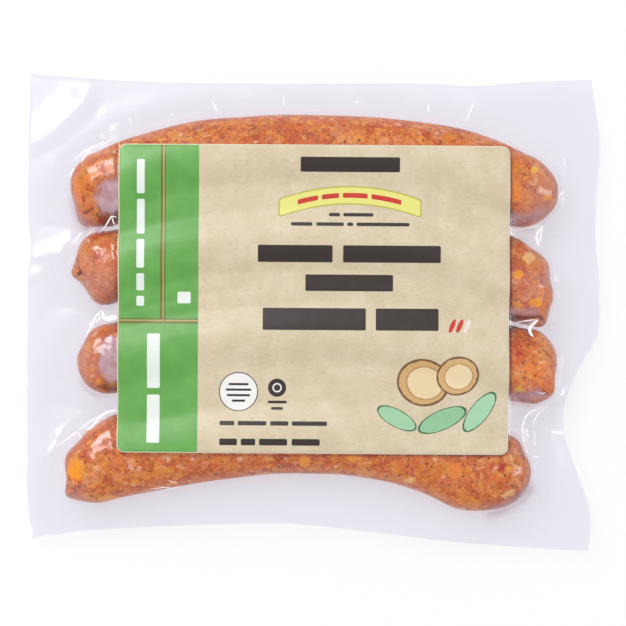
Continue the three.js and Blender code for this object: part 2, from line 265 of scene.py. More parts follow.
# The label, as in the frame
LABEL_WIDTH = 142.0
LABEL_DEPTH = 112.0
LABEL_CENTRE = (0.0, 4.8)
LABEL_TURN = math.radians(-0.4)
LABEL_AXES = np.array([
    [math.cos(LABEL_TURN), math.sin(LABEL_TURN)],
    [-math.sin(LABEL_TURN), math.cos(LABEL_TURN)],
])
LABEL_CORNER = 2.8
LABEL_THICKNESS = 0.28
LABEL_GAP = 0.18
BRIDGE_RISE = 12.0
BRIDGE_BLEND = 4.0
TENT_REACH = 7.0

# The view: straight down, with a long lens
VIEW_WIDTH = 228.5  # what the picture spans at the height of VIEW_PLANE
VIEW_PLANE = 18.0
VIEW_CENTRE = (-0.2, -0.2)
LENS = 200.0
SENSOR = 36.0


def colour(red, green, blue):
    """A colour as seen, 0 to 255, in the linear values that shaders take."""
    def linear(value):
        share = value / 255
        return share / 12.92 if share <= 0.04045 else ((share + 0.055) / 1.055) ** 2.4
    return (linear(red), linear(green), linear(blue), 1.0)


# Curves and shapes

def smooth(share):
    share = np.clip(share, 0, 1)
    return share * share * (3 - 2 * share)


def bell(distance):
    return np.exp(-distance * distance)


def softer_max(a, b, blend):
    """The larger of two heights, with a rounded join between them."""
    closeness = np.clip(1 - np.abs(a - b) / blend, 0, 1)
    return np.maximum(a, b) + closeness ** 2 * blend / 4


def spline(points, per_span=24):
    """Close points on a smooth curve through a few."""
    points = np.array(points, float)
    ends = np.vstack([points[:1], points, points[-1:]])
    t = np.linspace(0, 1, per_span, endpoint=False)[:, None]
    spans = []
    for before, start, stop, after in zip(ends, ends[1:], ends[2:], ends[3:]):
        out_of, into = (stop - before) / 2, (after - start) / 2
        spans.append(
            start + out_of * t
            + (3 * (stop - start) - 2 * out_of - into) * t ** 2
            + (2 * (start - stop) + out_of + into) * t ** 3
        )
    return np.vstack([*spans, points[-1:]])


def spaced(curve, count, skip=0.0):
    """Evenly spaced points on a curve, leaving out a length at each end."""
    steps = np.linalg.norm(np.diff(curve, axis=0), axis=1)
    length = np.concatenate([[0], np.cumsum(steps)])
    places = np.linspace(skip, length[-1] - skip, count)
    return np.column_stack([np.interp(places, length, curve[:, n]) for n in (0, 1)])


def through(points):
    """A smooth function through points, steady beyond the first and the last."""
    curve = spline(points)
    return lambda value: np.interp(value, curve[:, 0], curve[:, 1])


lower_edge, upper_edge = through(LOWER_EDGE), through(UPPER_EDGE)
left_edge, right_edge = through(LEFT_EDGE), through(RIGHT_EDGE)


def offsets_from(line, places):
    """For each stretch of a line of points: its direction, and each place's offset and distance."""
    line = np.array(line, float)
    for start, stop in zip(line, line[1:]):
        way = stop - start
        share = np.clip((places - start) @ way / (way @ way), 0, 1)
        gap = places - start - share[:, None] * way
        yield way, gap, np.linalg.norm(gap, axis=1)


def distance_to(line, places):
    """How far each place is from a line of points."""
    return np.min([distance for _, _, distance in offsets_from(line, places)], axis=0)


def side_distance(line, places):
    """How far each place is from a line, counted negative on the right of its direction."""
    nearest, signed = np.full(len(places), np.inf), np.zeros(len(places))
    for way, gap, distance in offsets_from(line, places):
        closer = distance < nearest
        nearest = np.where(closer, distance, nearest)
        side = way[0] * gap[:, 1] - way[1] * gap[:, 0]
        signed = np.where(closer, np.sign(side) * distance, signed)
    return signed


def strongest(strokes, places):
    """The strongest of some soft strokes at each place."""
    strength = np.zeros(len(places))
    for line, width, amount in strokes:
        strength = np.maximum(strength, amount * bell(distance_to(line, places) / width))
    return strength


def lumps(places, size, seed):
    """Soft lumps of about a size, from -1 to 1."""
    return np.array([noise.noise(Vector((x / size, y / size, seed))) for x, y in places])


def relief(places, layers):
    """Layers of soft lumps, each given as height, size and seed."""
    return sum(height * lumps(places, size, seed) for height, size, seed in layers)


def spot(places, x, y, radius):
    """A soft round spot, 1 at its middle."""
    return bell(np.linalg.norm(places - (x, y), axis=1) / radius)


def prepare(sausage):
    """Adds a sausage's close middle line, its directions there and its two ends."""
    curve = spline(sausage["line"])
    spine = spaced(curve, SPINE_STEPS, sausage["half"])
    way = np.gradient(spine, axis=0)
    way /= np.linalg.norm(way, axis=1)[:, None]
    sausage["spine"] = spine
    sausage["side"] = np.column_stack([-way[:, 1], way[:, 0]])
    sausage["ends"] = (curve[0] - spine[0], curve[-1] - spine[-1])
    seed = 10.0 * SAUSAGES.index(sausage)
    swell = [noise.noise(Vector((n * SWELL_PACE, seed, 0.0))) for n in range(SPINE_STEPS)]
    sausage["swell"] = SWELL * np.array(swell)


for each in SAUSAGES:
    prepare(each)


def push_at(sausage, places):
    moved = np.zeros(places.shape)
    for x, y, radius, shift_x, shift_y in sausage["pushes"]:
        moved += spot(places, x, y, radius)[:, None] * (shift_x, shift_y)
    return moved


PUSH_ROUNDS = 4  # how often the place before a push is worked out again
PLACES_AT_ONCE = 8000  # keeps the table of distances small


def before_push(sausage, places):
    """The places on the plain sausage that its pushes move to the given ones."""
    source = places
    for _ in range(PUSH_ROUNDS):
        source = places - push_at(sausage, source)
    return source


def place_on(sausage, places):
    """Where places lie on a sausage: how far past an end's centre as a share of the end, how far
    across in millimetres, and the nearest step of its middle line."""
    spine = sausage["spine"]
    plain = before_push(sausage, places)
    step = np.empty(len(places), int)
    for start in range(0, len(places), PLACES_AT_ONCE):
        part = slice(start, start + PLACES_AT_ONCE)
        gap = ((plain[part, None, :] - spine[None, :, :]) ** 2).sum(axis=2)
        step[part] = gap.argmin(axis=1)
    offset = plain - spine[step]
    across = (offset * sausage["side"][step]).sum(axis=1)
    along = np.zeros(len(places))
    for which, at_step in ((0, 0), (1, SPINE_STEPS - 1)):
        here = step == at_step
        axes = np.column_stack([sausage["ends"][which], sausage["side"][at_step]])
        solved = offset[here] @ np.linalg.inv(axes).T
        past = solved[:, 0] > 0
        along[here] = np.where(past, solved[:, 0], 0)
        across[here] = np.where(past, solved[:, 1], across[here])
    return along, across, step


def hollow_depths(places):
    """How deep the hollows are in the flesh, and in the film over it."""
    flesh, film = 0, 0
    for x, y, radius, depth, share in HOLLOWS:
        here = depth * spot(places, x, y, radius)
        flesh, film = flesh + here, film + here * share
    return flesh, film


# The film

FLESH_CLEARANCE = 0.25  # between the flesh's crest or belly and the film's, before their relief
FILM_REACH = 0.8  # the film's plan is this much wider than the flesh's
FILM_FLOOR = 0.02  # the film's bellies lie flat at this height
LEAVES_FLESH = 0.93  # the share of the half width at which the film leaves the flesh
WEB_REACH = 9.0  # a gap between two sausages narrower than this is spanned by strained film
# The pale haze of webs and skirts is partly whitened film and partly painted reflection
WEB_HAZE = 0.6
SKIRT_HAZE = 0.35  # the strained film just round a sausage, partly painted reflection
FILM_RELIEF = [(0.32, 4.2, 0.0), (0.16, 1.9, 5.0)]  # height, size and seed of each layer of lumps
HOLLOW_EDGE = [(0.7, 2.8, 9.0)]  # the same for the edges of the hollows
HOLLOW_SHOWS = 0.8  # the gap under the film at which it starts to look lilac
HOLLOW_FADE = 0.9


def film_profile(out):
    """The film's height over a sausage's section, as a share: it follows the flesh, then runs
    straight down to the seam."""
    body = np.sqrt(np.clip(1 - np.clip(out, 0, 1) ** FULLNESS, 0, 1))
    leaves = math.sqrt(1 - LEAVES_FLESH ** FULLNESS)
    slope = FULLNESS / 2 * LEAVES_FLESH ** (FULLNESS - 1) / leaves
    return np.where(out < LEAVES_FLESH, body, np.clip(leaves - slope * (out - LEAVES_FLESH), 0, 1))


def shape_over(places):
    """For each place, the film's share of full height, the flesh's share, and how far it lies
    outside the nearest two sausages."""
    film, flesh, outside = np.zeros(len(places)), np.zeros(len(places)), []
    for sausage in SAUSAGES:
        along, across, step = place_on(sausage, places)
        blunt = np.where(step < SPINE_STEPS / 2, *sausage["blunt"])
        reach = sausage["half"] + sausage["swell"][step] - FLESH_INSET

        def out_at(limit):
            sideways = np.abs(across / limit)
            rounded = ((along * sausage["half"] / limit) ** blunt + sideways ** blunt) ** (1 / blunt)
            return np.where(along > 0, rounded, sideways)

        of_film, of_flesh = out_at(reach + FILM_REACH), out_at(reach)
        film = softer_max(film, film_profile(of_film), 0.06)
        flesh = np.maximum(flesh, np.sqrt(np.clip(1 - of_flesh ** FULLNESS, 0, 1)))
        outside.append((of_film - 1) * reach)
    nearest, next_nearest = np.sort(outside, axis=0)[:2]
    return film, flesh, nearest, next_nearest


def seam_height(places, outside):
    """The welded seam: level beside the sausages, waving and drooping towards the free edge."""
    x, y = places[:, 0], places[:, 1]
    looseness = smooth(outside / 15)
    wave = np.sin(x / 21 + 0.8) * np.cos(y / 27 - 0.4) + 0.5 * np.sin((x + 2 * y) / 33)
    curl = CURL["drop"] * bell((y - CURL["y"]) / CURL["across"]) * smooth((x - CURL["x"] + 12) / 12)
    loose = BORDER_WAVE * wave - BORDER_DROOP * looseness - curl
    height = SEAM_HEIGHT + loose * looseness
    height += sum(rise * bell(distance_to(line, places) / width) for line, rise, width in BORDER_CREASES)
    for line, rise, width in RIDGES:
        past = side_distance(line, places)
        ridge = bell(past / np.where(past > 0, width, width * STEEP_SIDE))
        height += rise * ridge * smooth((outside - 1) / 4)
    return np.maximum(height, LOWEST_BORDER)


def label_hold(places):
    """1 under the label, falling to 0 where the film has come down from it."""
    on_label = np.abs((places - LABEL_CENTRE) @ LABEL_AXES.T)
    beyond = np.maximum(on_label - (LABEL_WIDTH / 2, LABEL_DEPTH / 2), 0)
    return 1 - smooth(np.linalg.norm(beyond, axis=1) / TENT_REACH)


def film_heights(places):
    """The heights of the upper and lower films, and how lilac, how loose and how pale the upper one is, the
    paleness being partly strained film and partly painted reflection."""
    film, flesh, outside, next_outside = shape_over(places)
    seam = seam_height(places, outside)
    hold = label_hold(places)
    flesh_depth, film_depth = hollow_depths(places)
    crest = (SAUSAGE_RISE + (relief(places, FILM_RELIEF) - film_depth) * (1 - hold)) * film
    bridge = BRIDGE_RISE * hold
    closeness = np.clip(1 - np.abs(crest - bridge) / BRIDGE_BLEND, 0, 1)
    rise = np.maximum(crest, bridge) + closeness ** 2 * BRIDGE_BLEND * hold / 4
    level = np.zeros(len(places))
    upper = seam + softer_max(rise, level, 1.0) + FILM_SKIN / 2
    lower = np.maximum(seam - softer_max(SAUSAGE_DROP * film, level, 0.7) - FILM_SKIN / 2, FILM_FLOOR)
    gap = flesh_depth - film_depth + relief(places, HOLLOW_EDGE)
    hollow = np.where(flesh > 0, smooth((gap - HOLLOW_SHOWS) / HOLLOW_FADE), 0)
    lilac = np.maximum(hollow, strongest(PATCHES, places))
    # Painted reflection, in part: the webs, the skirt and the listed strokes are paled
    web = WEB_HAZE * smooth((WEB_REACH - next_outside) / 6) * smooth((outside + 1) / 1.5)
    skirt = SKIRT_HAZE * bell((outside + 0.3) / 0.8)
    strain_whitening_and_sheen = np.maximum(np.maximum(web, skirt), strongest(WEBS_AND_SHEENS, places))
    return upper, lower, {"lilac": lilac, "strain_whitening_and_sheen": strain_whitening_and_sheen, "loose": smooth((outside - 3) / 6)}


def grid_lines(*stretches):
    """Positions along a grid, from stretches given as (start, stop, spacing)."""
    lines = []
    for start, stop, spacing in stretches:
        lines.append(np.linspace(start, stop, round((stop - start) / spacing), endpoint=False))
    return np.concatenate([*lines, [stretches[-1][1]]])


FILM_X = grid_lines((-105.3, -93, 1.0), (-93, -67, 0.45), (-67, 67, 2.2), (67, 93, 0.45), (93, 105.3, 1.0))
FILM_Y = grid_lines(
    (-87.4, -62, 1.3), (-62, -55, 0.5), (-55, -34, 0.9), (-34, -18, 0.6), (-18, 2, 0.9), (2, 17, 0.6),
    (17, 35, 0.9), (35, 50, 0.6), (50, 69, 0.9), (69, 76, 0.5), (76, 87.4, 1.2),
)
# The rows of the film's grid bow as the sausages do, x to the shift in y, and are straight again at
# the edges
ROW_BOW = [
    (-105, -13), (-89, -13), (-75, -10.5), (-60, -6.5), (-38, -2.6), (0, 0),
    (43, -4.6), (61, -9), (75, -13.5), (89, -16), (105, -16),
]
row_bow = through(ROW_BOW)


def bowed(plain):
    share = np.interp(plain[:, 1], (FILM_Y[0], -62, 76, FILM_Y[-1]), (0, 1, 1, 0))
    return np.column_stack([plain[:, 0], plain[:, 1] + row_bow(plain[:, 0]) * share])


def closed_sheet(columns, rows):
    """A closed box of cells, columns by rows, one cell thick, as a bmesh with its grid steps in x
    and y and its side in z."""
    sheet = bmesh.new()
    bmesh.ops.create_grid(sheet, x_segments=columns - 1, y_segments=rows - 1, size=0.5)
    raised = bmesh.ops.extrude_face_region(sheet, geom=sheet.faces[:])
    top = [part for part in raised["geom"] if isinstance(part, bmesh.types.BMVert)]
    bmesh.ops.translate(sheet, vec=(0, 0, 1), verts=top)
    bmesh.ops.recalc_face_normals(sheet, faces=sheet.faces[:])
    for corner in sheet.verts:
        corner.co.x = round((corner.co.x + 0.5) * (columns - 1))
        corner.co.y = round((corner.co.y + 0.5) * (rows - 1))
    return sheet


def coordinates(shape):
    return np.array([corner.co[:] for corner in shape.verts])


def move_to(shape, places):
    for corner, place in zip(shape.verts, places * MM):
        corner.co = place


def mark(shape, name, values):
    """Keeps a value at every corner, for the material to read."""
    layer = shape.verts.layers.float.new(name)
    for corner, value in zip(shape.verts, values):
        corner[layer] = value


def as_mesh(shape, name):
    """Turns a bmesh into a mesh, and frees it."""
    mesh = bpy.data.meshes.new(name)
    shape.to_mesh(mesh)
    shape.free()
    return mesh


def in_scene(name, data):
    """A new object, shown in the scene."""
    item = bpy.data.objects.new(name, data)
    bpy.context.scene.collection.objects.link(item)
    return item


def to_object(shape, name, material, replaced):
    """Turns a bmesh into a finished piece on the pack's body."""
    bmesh.ops.recalc_face_normals(shape, faces=shape.faces[:])
    mesh = as_mesh(shape, name)
    mesh.polygons.foreach_set("use_smooth", [True] * len(mesh.polygons))
    mesh.materials.append(material)
    piece = in_scene(name, mesh)
    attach(piece, "root")
    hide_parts(replaced)


def outline_pull(places):
    """Moves the plain rectangle's border to the pack's own uneven outline."""
    x, y = places[:, 0].copy(), places[:, 1].copy()
    right, top = FILM_X[-1], FILM_Y[-1]

    def near(distance):
        return np.clip(1 - distance / EDGE_REACH, 0, 1)

    moved = places.copy()
    moved[:, 0] += near(right - x) * (right_edge(y) - right) + near(x + right) * (left_edge(y) + right)
    moved[:, 1] += near(top - y) * (upper_edge(x) - top) + near(y + top) * (lower_edge(x) + top)
    return moved


def make_film(material):
    sheet = closed_sheet(len(FILM_X), len(FILM_Y))
    steps = coordinates(sheet)
    plain = np.column_stack([FILM_X[steps[:, 0].astype(int)], FILM_Y[steps[:, 1].astype(int)]])
    places = outline_pull(bowed(plain))
    upper, lower, states = film_heights(places)
    is_upper = steps[:, 2] > 0.5
    move_to(sheet, np.column_stack([places, np.where(is_upper, upper, lower)]))
    for name, values in states.items():
        mark(sheet, name, np.where(is_upper, values, 0))
    to_object(sheet, "film", material, "sealed_pack")


PLEAT_RINGS = 36
PLEAT_SIDES = 8


def make_pleats(material):
    """Thin ridges of pinched film: each a ball of rings drawn out along its line."""
    pleats = bmesh.new()
    for line, half in PLEATS:
        ball = bmesh.new()
        bmesh.ops.create_uvsphere(ball, u_segments=PLEAT_SIDES, v_segments=PLEAT_RINGS, radius=1)
        unit = coordinates(ball)
        share = np.arccos(np.clip(unit[:, 2], -1, 1)) / math.pi
        path = spaced(spline(line), PLEAT_RINGS + 1)
        way = np.gradient(path, axis=0)
        side = np.column_stack([-way[:, 1], way[:, 0]]) / np.linalg.norm(way, axis=1)[:, None]
        ring = np.rint(share * PLEAT_RINGS).astype(int)
        thick = half * np.sin(math.pi * share) ** 0.6
        around = np.arctan2(unit[:, 1], unit[:, 0])
        places = path[ring] + side[ring] * (np.cos(around) * thick)[:, None]
        level = film_heights(path)[0][ring] + np.sin(around) * thick * 1.2
        move_to(ball, np.column_stack([places, level]))
        mesh = as_mesh(ball, "pleat")
        pleats.from_mesh(mesh)
        bpy.data.meshes.remove(mesh)
    to_object(pleats, "film_pleat_glints", material, "sealed_pack")


# The sausages

SAUSAGE_SIDES = 176
SAUSAGE_RINGS = 280
END_RINGS = 0.2  # the share of a sausage's rings that go to each rounded end
RING_CROWDING = 0.09  # how much closer the rings lie near the ends than in the middle
GATHERS = 9  # gathers in the casing where an end was tied
GATHER_DEPTH = 0.07
FLESH_FLOOR = 0.35  # the flesh's bellies lie flat at this height
CREST_CLEARANCE = 0.1  # added to FLESH_CLEARANCE above the seam
FLESH_RELIEF = [(0.26, 3.4, 2.0), (0.12, 1.5, 7.0)]
RELIEF_SLANT = 0.7  # the relief shifts sideways with height, so that it doesn't run down the sides
FOLD_DEPTH = 0.7
# Where the meat is pinker and smoother: x, y, radius
PINK_MEAT = [
    (-80, 10, 11), (-84, 33, 4), (84, 42, 8), (84, 8, 10), (88, -22, 6), (-84, -18, 7), (-86, -67, 4),
]
RIM_HEIGHT = 0.5  # the paler rim of an end, partly a pinker tone and partly painted light on its steep sides, reaches this share of the way up


def pinkness(places):
    pink = np.zeros(len(places))
    for x, y, radius in PINK_MEAT:
        pink = np.maximum(pink, spot(places, x, y, radius))
    return pink


def make_sausage(sausage, material):
    """A sausage from a ball of rings: the ball's poles are the tied ends."""
    ball = bmesh.new()
    bmesh.ops.create_uvsphere(ball, u_segments=SAUSAGE_SIDES, v_segments=SAUSAGE_RINGS, radius=1)
    unit = coordinates(ball)
    turn = np.arccos(np.clip(unit[:, 2], -1, 1)) / math.pi
    around = np.arctan2(unit[:, 1], unit[:, 0])
    half = sausage["half"] - FLESH_INSET
    share = np.clip((turn - END_RINGS) / (1 - 2 * END_RINGS), 0, 1)
    share = share - RING_CROWDING * np.sin(2 * math.pi * share)
    step = share * (SPINE_STEPS - 1)
    steps = range(SPINE_STEPS)
    spine = np.column_stack([np.interp(step, steps, sausage["spine"][:, n]) for n in (0, 1)])
    side = np.column_stack([np.interp(step, steps, sausage["side"][:, n]) for n in (0, 1)])
    girth = np.ones(len(unit))
    for which, towards_pole in enumerate((turn, 1 - turn)):
        here = towards_pole < END_RINGS
        angle = np.clip(towards_pole / END_RINGS, 0, 1) * math.pi / 2
        blunt = sausage["blunt"][which]
        along = np.cos(angle) ** (2 / blunt)
        narrow = np.sin(angle) ** (2 / blunt)
        gather = 1 + GATHER_DEPTH * np.sin(GATHERS * around + which) * bell(narrow / 0.5)
        end = sausage["ends"][which] * (half / sausage["half"])
        spine[here] += (along[:, None] * end)[here]
        girth[here] = (narrow * gather)[here]
    swell = np.interp(step, steps, sausage["swell"])
    across = np.sign(np.cos(around)) * np.abs(np.cos(around)) ** (2 / FULLNESS)
    height = np.sin(around)
    places = spine + side * (across * (half + swell) * girth)[:, None]
    places = places + push_at(sausage, places)
    upward = SAUSAGE_RISE - FLESH_CLEARANCE - CREST_CLEARANCE - hollow_depths(places)[0]
    rise = np.where(height > 0, upward, SAUSAGE_DROP - FLESH_CLEARANCE) * height * girth
    level = np.maximum(SEAM_HEIGHT + rise, FLESH_FLOOR)
    slanted = places + (level * RELIEF_SLANT)[:, None] * (1, -1)
    # Painted shade: the folds are darkened as well as pressed in
    dark = strongest(SHADED_FOLDS, places) * (height > 0)
    level += np.where(level > 1, relief(slanted, FLESH_RELIEF) * height, 0) - FOLD_DEPTH * dark
    level = np.maximum(level, FLESH_FLOOR)
    move_to(ball, np.column_stack([places, level]))
    mark(ball, "fold_shade", dark)
    mark(ball, "pink", pinkness(places))
    # Painted light: the rim pales the ends' steep sides, which lie in shade, as well as tinting them pinker
    beyond_label = smooth((np.abs(places[:, 0]) - LABEL_WIDTH / 2 + 4) / 12)
    mark(ball, "rim_tone_and_light", smooth(1 - np.abs(height) * girth / RIM_HEIGHT) * beyond_label)
    to_object(ball, sausage["name"], material, "sealed_pack")


# The label

LABEL_CELL = 1.1


def into_corner(distance, size):
    return np.maximum(np.abs(distance) - size / 2 + LABEL_CORNER, 0) / LABEL_CORNER


def make_label(material):
    columns, rows = round(LABEL_WIDTH / LABEL_CELL), round(LABEL_DEPTH / LABEL_CELL)
    sheet = closed_sheet(columns, rows)
    steps = coordinates(sheet)
    flat = (steps[:, :2] / (columns - 1, rows - 1) - 0.5) * (LABEL_WIDTH, LABEL_DEPTH)
    into = np.column_stack([into_corner(flat[:, 0], LABEL_WIDTH), into_corner(flat[:, 1], LABEL_DEPTH)])
    pull = LABEL_CORNER * into * (1 - np.sqrt(1 - into[:, ::-1] ** 2 / 2))
    flat -= np.sign(flat) * pull
    places = flat @ LABEL_AXES + LABEL_CENTRE
    height = film_heights(places)[0] + LABEL_GAP + LABEL_THICKNESS * steps[:, 2]
    move_to(sheet, np.column_stack([places, height]))
    to_object(sheet, "label_sheet", material, "label")


# Materials

class Shader:
    """A material's nodes, added one after another."""

    def __init__(self, name):
        self.material = bpy.data.materials.new(name)
        self.material.use_nodes = True
        self.nodes = self.material.node_tree.nodes
        self.links = self.material.node_tree.links
        self.nodes.clear()
        self.output = self.nodes.new("ShaderNodeOutputMaterial")
        self.place = self.nodes.new("ShaderNodeTexCoord").outputs["Object"]

    def set(self, socket, value):
        if isinstance(value, bpy.types.NodeSocket):
            self.links.new(value, socket)
        else:
            socket.default_value = value

    def add(self, kind, inputs=(), **settings):
        node = self.nodes.new(kind)
        for setting, value in settings.items():
            setattr(node, setting, value)
        for key, value in dict(inputs).items():
            self.set(node.inputs[key], value)
        return node

    def maths(self, operation, *values):
        node = self.add("ShaderNodeMath", operation=operation)
        for socket, value in zip(node.inputs, values):
            self.set(socket, value)
        return node.outputs[0]

    def vector(self, operation, *values):
        node = self.add("ShaderNodeVectorMath", operation=operation)
        for socket, value in zip(node.inputs, values):
            self.set(socket, value)
        return node.outputs["Value" if operation == "LENGTH" else "Vector"]

    def ramp(self, value, start, stop, low=0.0, high=1.0):
        """Low up to start, high from stop on, and a smooth change between."""
        return self.add("ShaderNodeMapRange", {
            "Value": value, "From Min": start, "From Max": stop, "To Min": low, "To Max": high,
        }, interpolation_type="SMOOTHSTEP").outputs["Result"]

    def mix(self, share, first, second):
        return self.add("ShaderNodeMix", {0: share, 6: first, 7: second}, data_type="RGBA").outputs[2]

    def blend(self, share, first, second):
        """Two surfaces, the first alone where the share is 0."""
        return self.add("ShaderNodeMixShader", {0: share, 1: first.outputs[0], 2: second.outputs[0]})

    def kept(self, name):
        """A value that the mesh keeps at its corners."""
        return self.add("ShaderNodeAttribute", attribute_name=name).outputs["Fac"]

    def within(self, place, middle, turn, size):
        """A place seen from a middle, turned, in units of a size."""
        return self.add("ShaderNodeMapping", {
            "Vector": place, "Location": middle, "Rotation": (0, 0, turn), "Scale": size,
        }, vector_type="TEXTURE").outputs[0]

    def grain(self, scale, detail=2.0, roughness=0.5, place=None, distortion=0.0):
        """Soft noise with its features one over scale apart, in the unit of the place."""
        return self.add("ShaderNodeTexNoise", {
            "Vector": place or self.place, "Scale": scale, "Detail": detail,
            "Roughness": roughness, "Distortion": distortion,
        }).outputs["Fac"]

    def cells(self, scale, place):
        return self.add("ShaderNodeTexVoronoi", {"Vector": place, "Scale": scale})

    def channels(self, colours):
        return self.add("ShaderNodeSeparateColor", {0: colours}).outputs

    def tones(self, value, stops):
        """A colour looked up along a row of stops, each a position from 0 to 1 and a tone."""
        node = self.add("ShaderNodeValToRGB", {"Fac": value})
        elements = node.color_ramp.elements
        while len(elements) < len(stops):
            elements.new(1.0)
        for element, (position, tone) in zip(elements, stops):
            element.position = position
            element.color = colour(*tone)
        return node.outputs["Color"]

    def scaled(self, surface, share):
        node = self.add("ShaderNodeVectorMath", {0: surface, "Scale": share}, operation="SCALE")
        return node.outputs["Vector"]

    def bump(self, height, distance, strength=1.0, under=None):
        inputs = {"Height": height, "Distance": distance, "Strength": strength}
        if under is not None:
            inputs["Normal"] = under
        return self.add("ShaderNodeBump", inputs).outputs["Normal"]

    def finish(self, surface):
        self.links.new(surface.outputs[0], self.output.inputs["Surface"])
        return self.material


# What clouds the film: its mark, tone, how thick it is, and how much of it lies everywhere; the pale haze is
# partly painted reflection
FILM_HAZES = [("strain_whitening_and_sheen", (228, 225, 240), 0.5, 0.012), ("lilac", (214, 180, 192), 0.78, 0.0)]


def film_finish():
    """Clear, glossy film, lilac where moisture lies under it, and pale where it is strained, a paleness that
    is partly painted reflection.
    """
    shader = Shader("clear_film")
    normal = shader.bump(shader.grain(520, 2, 0.5), 0.0001, 0.4)
    normal = shader.bump(shader.grain(150, 2, 0.5), 0.0004, 0.4, normal)
    patchy = shader.ramp(shader.grain(300, 3), 0.3, 0.7, 0.65, 1.0)
    body = shader.add("ShaderNodeBsdfTransparent", {"Color": (0.935, 0.94, 0.975, 1)})
    for name, tone, thick, least in FILM_HAZES:
        haze = shader.add("ShaderNodeBsdfDiffuse", {"Color": colour(*tone), "Normal": normal})
        strength = shader.maths("MULTIPLY", shader.kept(name), patchy)
        body = shader.blend(shader.maths("MULTIPLY_ADD", strength, thick, least), body, haze)
    rough = shader.ramp(shader.grain(70, 2), 0.3, 0.7, 0.1, 0.24)
    rough = shader.maths("MULTIPLY_ADD", shader.kept("loose"), 0.2, rough)
    gloss = shader.add("ShaderNodeBsdfGlossy", {"Color": (1, 1, 1, 1), "Roughness": rough, "Normal": normal})
    facing = shader.add("ShaderNodeLayerWeight", {"Blend": 0.5, "Normal": normal}).outputs["Facing"]
    sheen = shader.maths("MULTIPLY_ADD", shader.maths("POWER", facing, 4.0), 0.5, 0.042)
    return shader.finish(shader.blend(sheen, body, gloss))


def pleat_glint_finish():
    """Film that is white where it was stretched, and glows a little: a painted highlight."""
    shader = Shader("strained_film_glints")
    clear = shader.add("ShaderNodeBsdfTransparent", {"Color": (1, 1, 1, 1)})
    streaks = shader.grain(900, 2)
    # Painted highlight: the white glows, though it is no lamp
    white = shader.add("ShaderNodeBsdfPrincipled", {
        "Base Color": shader.mix(streaks, colour(244, 243, 250), colour(255, 255, 255)), "Roughness": 0.15,
        "Emission Color": (1, 1, 1, 1), "Emission Strength": 0.26,
    })
    share = shader.ramp(streaks, 0.25, 0.55, 0.7, 1.0)
    return shader.finish(shader.blend(share, clear, white))


MEAT_WARP = 0.003  # how far the bits' outlines wander, in metres
MEAT_SHIFT = 1.5  # half that in millimetres, which the wandering adds to every place
MEAT_SCALES = (190, 430, 950)
MEAT_TONES = [
    (0.0, (170, 52, 20)), (0.16, (204, 80, 26)), (0.36, (226, 106, 34)), (0.54, (236, 124, 60)),
    (0.7, (236, 136, 30)), (0.86, (248, 160, 46)), (1.0, (250, 176, 126)),
]
# Small bits: how many to the metre, how rare, their size and strength, and tone
MEAT_SPECKS = [
    (200, 0.86, 0.42, 0.85, (252, 160, 48)), (330, 0.86, 0.4, 0.75, (250, 192, 156)),
    (500, 0.9, 0.42, 0.8, (190, 50, 30)), (470, 0.9, 0.3, 0.85, (98, 40, 24)),
    (950, 0.85, 0.42, 0.9, (84, 36, 20)),
]


